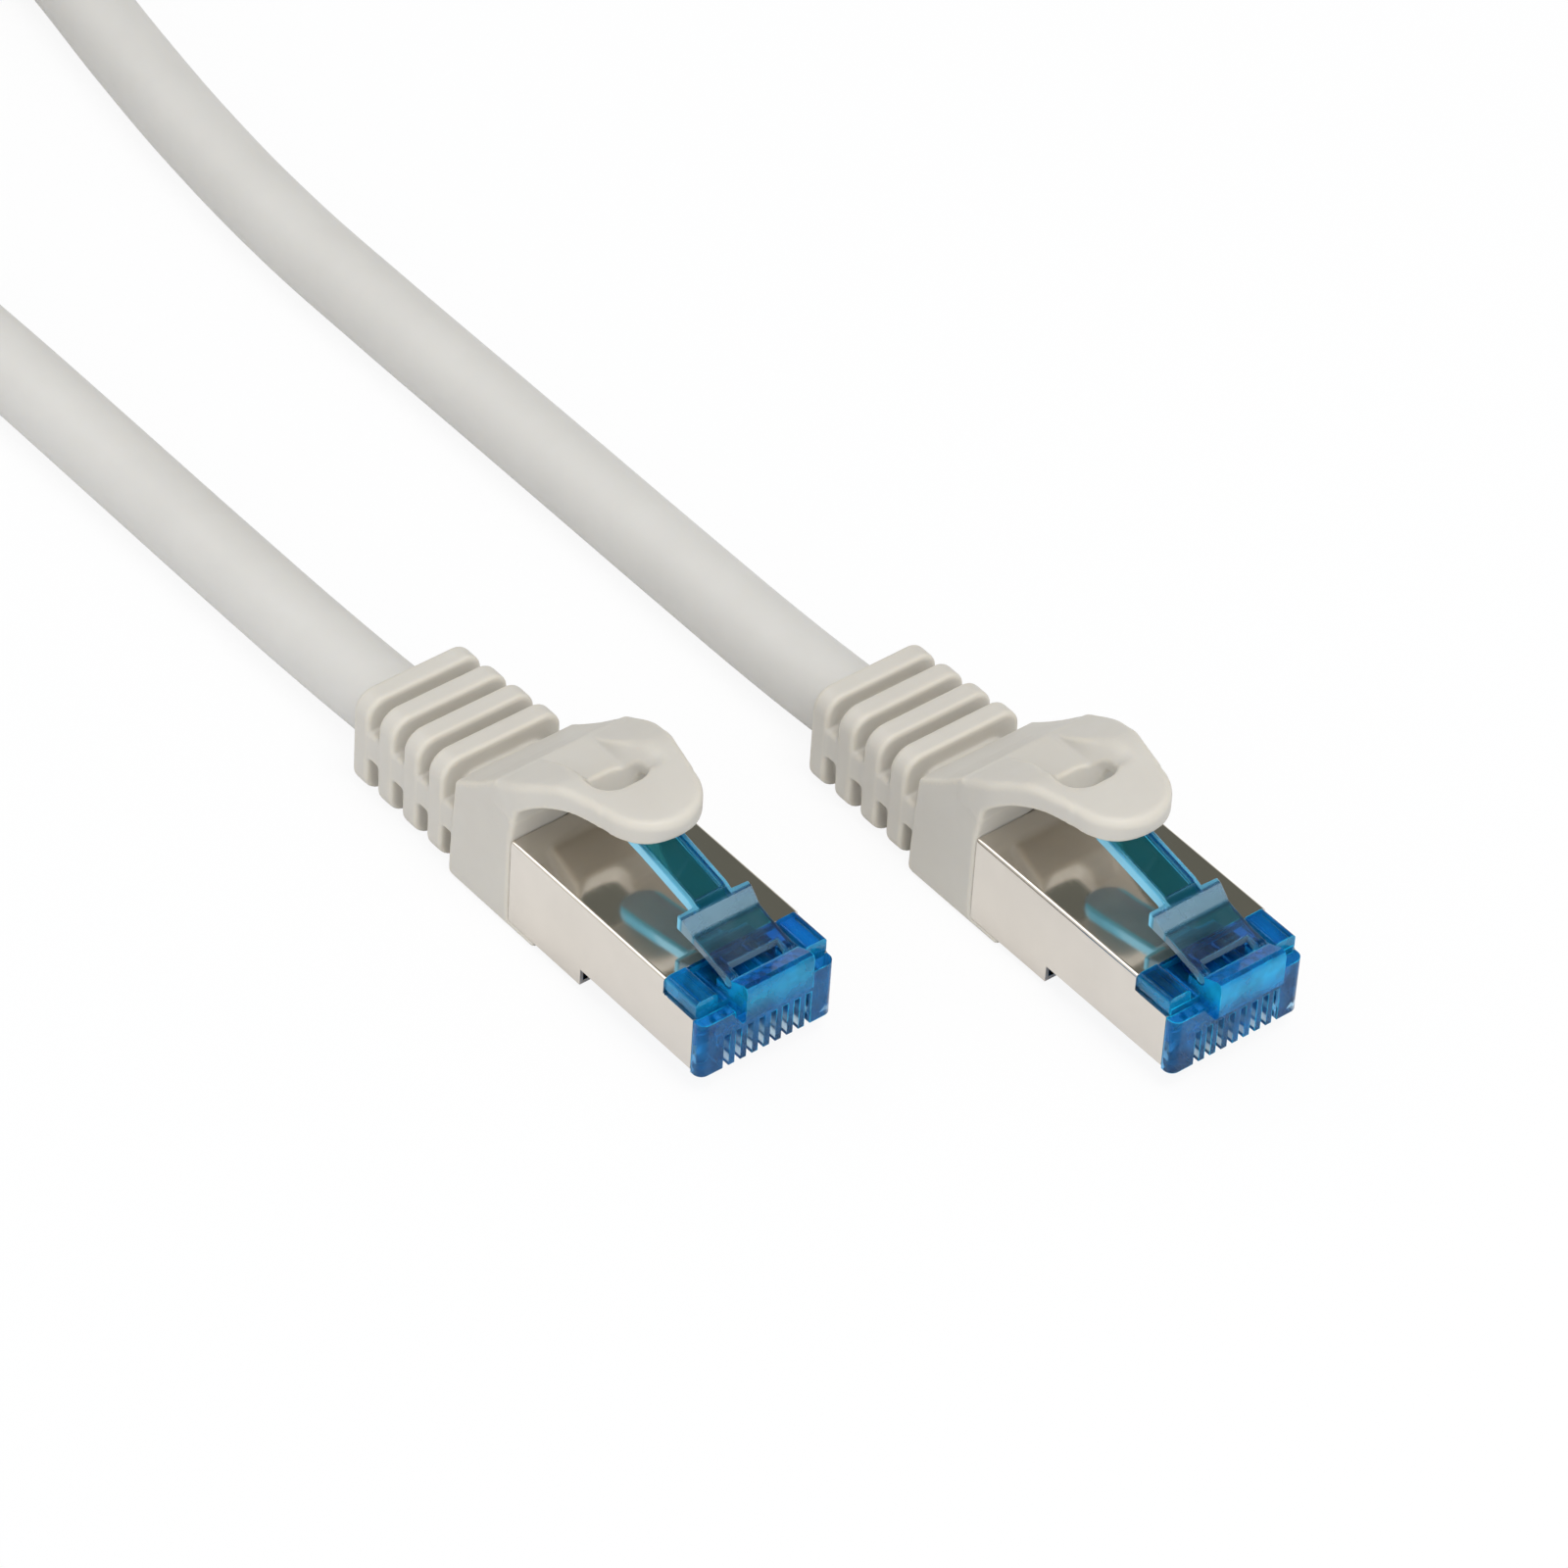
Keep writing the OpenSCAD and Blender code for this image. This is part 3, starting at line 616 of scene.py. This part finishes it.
def metal(name, colour, rough, grain_scale):
    """Metal with a grain, slight waviness and streaky roughness."""
    material, n = new_material(name)
    place = n.position()
    stretched = n.add("ShaderNodeMapping", {"Vector": place, "Scale": grain_scale}).outputs[0]
    lines = n.noise(4.0, 6, 0.6, stretched)
    cloud = n.noise(160, 4, 0.6, place)
    tone = n.mix(n.remap(cloud, 0, 1), darker(colour, 0.94), colour)
    roughness = n.remap(lines, rough * 0.85, rough * 1.2)
    normal = n.bump(lines, 0.04, 0.00001)
    normal = n.bump(cloud, 0.05, 0.0001, normal)
    shader = n.add("ShaderNodeBsdfPrincipled", {
        "Base Color": tone, "Metallic": 1.0, "Roughness": roughness, "Normal": normal,
    })
    n.finish(shader)
    return material


# Painted light: the plastic's corners are tinted towards the edge colour within this distance of an
# edge.
CORNER_R = 0.16 * MM  # how near a corner the plastic gathers light
BAND_START, BAND_END, BAND_SIDE = 0.2 * MM, 0.1 * MM, 0.05 * MM  # soft ends of a cloudy band


def polycarbonate(
    name, absorb, density, rough, body, milky, edge, edge_light_share, glow,
    middle=0.0, matt_below=0.0, bands=(),
):
    """Tinted clear plastic, coloured by its depth and a little milky, with soft flow lines and
    handling marks. Its corners carry painted light in the edge colour, in patches, and so do its
    upright faces above the heights in glow. Each of bands is a cloudy band: how far from the
    middle x it begins, its start and end along y, its share and its colour. Lengths are in row
    mm. matt_below is how matt its underside is."""
    material, n = new_material(name)
    place = n.position()
    flow = n.noise(260, 3, 0.5, place)
    marks = n.noise(2200, 4, 0.6, place)
    roughness = n.remap(marks, rough * 0.6, rough * 1.5)
    normal = n.bump(flow, 0.12, 0.0002)
    normal = n.bump(marks, 0.04, 0.00003, normal)
    surface = {
        "IOR": 1.5, "Specular Tint": (0.3, 0.65, 0.95, 1), "Roughness": roughness, "Normal": normal,
    }
    clear = n.add("ShaderNodeBsdfPrincipled", {
        "Base Color": (1, 1, 1, 1), "Transmission Weight": 1.0, **surface,
    })
    # Painted light: corners, in noise patches, and upright faces above the glow heights take the edge
    # colour and turn cloudier, as if catching light.
    round_normal = n.add("ShaderNodeBevel", {"Radius": CORNER_R}, samples=4).outputs[0]
    flat_normal = n.add("ShaderNodeNewGeometry").outputs["Normal"]
    turn = n.dot(round_normal, flat_normal)
    light_patches = n.remap(n.noise(450, 2, 0.5, place), 0.15, 1, 0.42, 0.58)
    corner = n.times(n.remap(turn, 1, 0, 0.80, 0.98), light_patches)
    x, y, z = n.add("ShaderNodeSeparateXYZ", {0: place}).outputs
    beside = n.math("ABSOLUTE", n.math("SUBTRACT", x, middle * MM))
    facing = n.add("ShaderNodeSeparateXYZ", {0: flat_normal}).outputs["Z"]
    upright = n.remap(n.math("ABSOLUTE", facing), 0.55, 0, 0, 0.8)
    high = n.remap(z, 0, 1, glow[0] * MM, glow[1] * MM)
    corner = n.math("MAXIMUM", corner, n.times(upright, high))
    depths = n.remap(n.noise(330, 3, 0.6, place), 0.35, 1.4, 0.36, 0.64)
    tone = n.mix(n.remap(flow, 0, 1), darker(body, 0.35), body)
    tone = n.mix(corner, tone, edge)
    share = n.math("MULTIPLY_ADD", corner, edge_light_share, n.times(depths, milky))
    if matt_below:
        below = n.remap(facing, 1, 0, -0.9, -0.5)
        tone = n.mix(below, tone, PALE_BLUE)
        share = n.math("MULTIPLY_ADD", below, matt_below, share)
    for inner, start, end, strength, colour in bands:
        inner, start, end = inner * MM, start * MM, end * MM
        begun = n.remap(y, 0, 1, start, start + BAND_START)
        not_over = n.remap(y, 1, 0, end - BAND_END, end)
        aside = n.remap(beside, 0, 1, inner - BAND_SIDE, inner)
        band = n.times(n.times(begun, not_over), aside)
        tone = n.mix(band, tone, colour)
        share = n.math("MULTIPLY_ADD", band, strength, share)
    cloudy = n.add("ShaderNodeBsdfPrincipled", {"Base Color": tone, **surface})
    both = n.add("ShaderNodeMixShader", {0: share, 1: clear.outputs[0], 2: cloudy.outputs[0]})
    depth = n.add("ShaderNodeVolumeAbsorption", {"Color": absorb, "Density": density})
    n.add("ShaderNodeOutputMaterial", {"Surface": both.outputs[0], "Volume": depth.outputs[0]})
    return material


def plain(name, colour, rough):
    """Plain opaque plastic: faint clouds and fine grain."""
    material, n = new_material(name)
    place = n.position()
    cloud = n.noise(300, 4, 0.6, place)
    tone = n.mix(n.remap(cloud, 0, 1), darker(colour, 0.88), colour)
    normal = n.bump(n.noise(3000, 3, 0.6, place), 0.1, 0.00002)
    shader = n.add("ShaderNodeBsdfPrincipled", {
        "Base Color": tone, "Roughness": n.remap(cloud, rough * 0.85, rough * 1.15), "Normal": normal,
    })
    n.finish(shader)
    return material


# Painted highlight colour for the moulding's sharp edges.
CREAM_EDGE_HIGHLIGHT = (0.72, 0.66, 0.54, 1)
FROST = (0.22, 0.33, 0.39, 1)
LIT_CYAN = (0.22, 0.68, 0.92, 1)
PALE_BLUE = (0.50, 0.61, 0.66, 1)
BOOT_PVC = pvc("boot_pvc", (0.565, 0.535, 0.48, 1), (0.60, 0.575, 0.52, 1))
CORD_PVC = pvc("cord_pvc", (0.595, 0.58, 0.545, 1), (0.63, 0.615, 0.58, 1))
NICKEL = metal("nickel", (0.735, 0.69, 0.63, 1), 0.10, DRAWN_GRAIN)
BRAID = metal("braid", (0.6, 0.58, 0.55, 1), 0.35, WOVEN_GRAIN)
GOLD = metal("gold", (0.9, 0.66, 0.3, 1), 0.2, DRAWN_GRAIN)
# Painted light: its corners, and its upright faces from 6.1 to 8.1 mm up, take the pale cyan edge
# colour.
HOUSING_BLUE = polycarbonate(
    "housing_blue",
    absorb=(0.0, 0.64, 0.94, 1),
    density=650,
    rough=0.10,
    body=(0.0, 0.30, 0.80, 1),
    milky=0.36,
    edge=(0.02, 0.58, 0.88, 1),
    edge_light_share=0.55,
    glow=(6.1, 8.1),
)


def latch_blue(plug):
    """The latch's paler blue: frosted shoulder, painted highlights on rails and corners, faintly
    frosted plate.
    """
    middle, front, _ = PLUGS[plug]
    shoulder = (0, front + 4.9, front + 6.1, 0.45, FROST)
    # Painted highlight: a lit cyan band along the rails.
    rails = (1.4, front + 6.1, front + 15.3, 0.3, LIT_CYAN)
    plate = (0, front + 1.2, front + 4.9, 0.02, FROST)
    return polycarbonate(
        "latch_blue_" + plug,
        absorb=(0.0, 0.86, 0.985, 1),
        density=4500,
        rough=0.06,
        body=(0.0, 0.17, 0.26, 1),
        milky=0.09,
        # Painted light: its corners and all its upright faces take the lit cyan.
        edge=LIT_CYAN,
        edge_light_share=0.9,
        glow=(0.0, 1.0),
        middle=middle,
        matt_below=0.6,
        bands=[shoulder, rails, plate],
    )


LATCH_BLUES = {plug: latch_blue(plug) for plug in PLUGS}
NYLON = plain("nylon", (0.8, 0.8, 0.78, 1), 0.45)
TIE = plain("tie_black", (0.03, 0.03, 0.032, 1), 0.5)
WIRES = {
    "orange": plain("wire_orange", (0.8, 0.3, 0.04, 1), 0.4),
    "green": plain("wire_green", (0.06, 0.42, 0.12, 1), 0.4),
    "blue": plain("wire_blue", (0.06, 0.18, 0.6, 1), 0.4),
    "brown": plain("wire_brown", (0.28, 0.14, 0.06, 1), 0.4),
}


def dress(obj, material):
    if not obj.material_slots:
        obj.data.materials.append(material)
    for slot in obj.material_slots:
        slot.material = material


PLASTIC_EDGE, SHEET_EDGE, TIE_EDGE = 0.12, 0.09, 0.2
EDGE_SEGMENTS = 3
EDGE_ANGLE, FLAT_ANGLE = math.radians(28), math.radians(1.5)
WELD_GAP = 0.002


def soften_edges(obj, width):
    """Broken edges on a CAD node: weld the faces, drop flat edges, then round what is left."""
    weld = obj.modifiers.new("weld", "WELD")
    weld.merge_threshold = WELD_GAP * MM
    flat = obj.modifiers.new("flat", "DECIMATE")
    flat.decimate_type = "DISSOLVE"
    flat.angle_limit = FLAT_ANGLE
    bevel = obj.modifiers.new("bevel", "BEVEL")
    bevel.width = width * MM
    bevel.segments = EDGE_SEGMENTS
    bevel.limit_method = "ANGLE"
    bevel.angle_limit = EDGE_ANGLE
    bevel.harden_normals = False
    normals = obj.modifiers.new("normals", "WEIGHTED_NORMAL")
    normals.keep_sharp = False


for boot in boots:
    dress(boot, BOOT_PVC)
dress(cord, CORD_PVC)

for plug in PLUGS:
    nodes = {name[:-2]: obj for name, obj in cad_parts.items() if name.endswith("_" + plug)}
    dress(nodes["housing"], HOUSING_BLUE)
    dress(nodes["latch_lever"], LATCH_BLUES[plug])
    dress(nodes["shield_shell"], NICKEL)
    dress(nodes["contacts"], GOLD)
    dress(nodes["braid_collar"], BRAID)
    dress(nodes["wire_guide"], NYLON)
    dress(nodes["jacket_end"], CORD_PVC)
    for shade, material in WIRES.items():
        dress(nodes["pair_" + shade], material)
    soften_edges(nodes["housing"], PLASTIC_EDGE)
    soften_edges(nodes["latch_lever"], PLASTIC_EDGE)
    soften_edges(nodes["shield_shell"], SHEET_EDGE)

for tie in ties:
    dress(tie, TIE)
    soften_edges(tie, TIE_EDGE)

# ---- floor, light and surroundings ----------------------------------------------------------


FLOOR_HALF = 3.0  # m
FLOOR_GLOW = 0.9  # how much of the floor glows white where the camera sees it


def make_floor():
    """A matt floor that looks white to the camera, also through the clear plastic."""
    corners = [(FLOOR_HALF * u, FLOOR_HALF * v, 0) for u, v in [(-1, -1), (1, -1), (1, 1), (-1, 1)]]
    mesh = bpy.data.meshes.new("floor")
    mesh.from_pydata(corners, [], [(0, 1, 2, 3)])
    floor = link(bpy.data.objects.new("floor", mesh))
    material, n = new_material("floor_white")
    path = n.add("ShaderNodeLightPath")
    seen = n.math("MAXIMUM", path.outputs["Is Camera Ray"], path.outputs["Is Transmission Ray"])
    matt = n.add("ShaderNodeBsdfDiffuse", {"Color": (0.86, 0.86, 0.86, 1)})
    glow = n.add("ShaderNodeEmission", {"Color": (1, 1, 1, 1), "Strength": 1.0})
    share = n.times(seen, FLOOR_GLOW)
    both = n.add("ShaderNodeMixShader", {0: share, 1: matt.outputs[0], 2: glow.outputs[0]})
    n.finish(both)
    dress(floor, material)


WHITE = (1, 1, 1, 1)
ROOM = (0.85, 0.83, 0.79, 1)
DARK_PATCH = (0.15, 0.155, 0.135, 1)
BRIGHT_PATCH = (2.5, 2.5, 2.5, 1)
BRIGHT_AT = [(-0.33, 0.56, 0.76), (0.49, -0.30, 0.82)]  # where the shells' rounded edges mirror
SOFT_LIGHT, SOFT_SHADE = (0.98, 1.0, 1.04, 1), (0.52, 0.53, 0.54, 1)
SHADE_AT = (0.8, 0.6, 0)


def make_world():
    """White to the camera and soft to matt surfaces, darker behind the plugs. Glossy surfaces see
    a dark patch overhead, which the shells' tops mirror, and two bright ones for their edges."""
    world = bpy.data.worlds.new("room")
    bpy.context.scene.world = world
    n = Nodes(world)
    path = n.add("ShaderNodeLightPath")
    direction = n.add("ShaderNodeTexCoord").outputs["Generated"]

    def towards(aim, start, end):
        return n.remap(n.dot(direction, aim), 0, 1, start, end)

    back = look_back()
    overhead = towards((-back.x, -back.y, back.z), 0.80, 0.93)
    shiny = n.mix(overhead, ROOM, DARK_PATCH)
    for aim in BRIGHT_AT:
        shiny = n.mix(towards(aim, 0.95, 0.98), shiny, BRIGHT_PATCH)
    matt = n.mix(towards(SHADE_AT, -0.8, 0.8), SOFT_LIGHT, SOFT_SHADE)
    through = n.math("MAXIMUM", path.outputs["Is Glossy Ray"], path.outputs["Is Transmission Ray"])
    colour = n.mix(through, matt, shiny)
    colour = n.mix(path.outputs["Is Camera Ray"], colour, WHITE)
    sky = n.add("ShaderNodeBackground", {"Color": colour, "Strength": 1.0})
    n.add("ShaderNodeOutputWorld", {"Surface": sky.outputs[0]})


def make_lamp(name, at, size, power, colour):
    """A round lamp that shines at the middle of the part."""
    data = bpy.data.lights.new(name, "AREA")
    data.shape = "DISK"
    data.size = size
    data.energy = power
    data.color = colour
    lamp = link(bpy.data.objects.new(name, data))
    lamp.location = at
    lamp.rotation_euler = (-Vector(at)).to_track_quat("-Z", "Y").to_euler()


make_floor()
make_world()
make_lamp("key", at=(-0.05, -0.35, 0.8), size=0.5, power=3.4, colour=(1.0, 0.985, 0.96))
bpy.context.scene.view_settings.view_transform = "Standard"
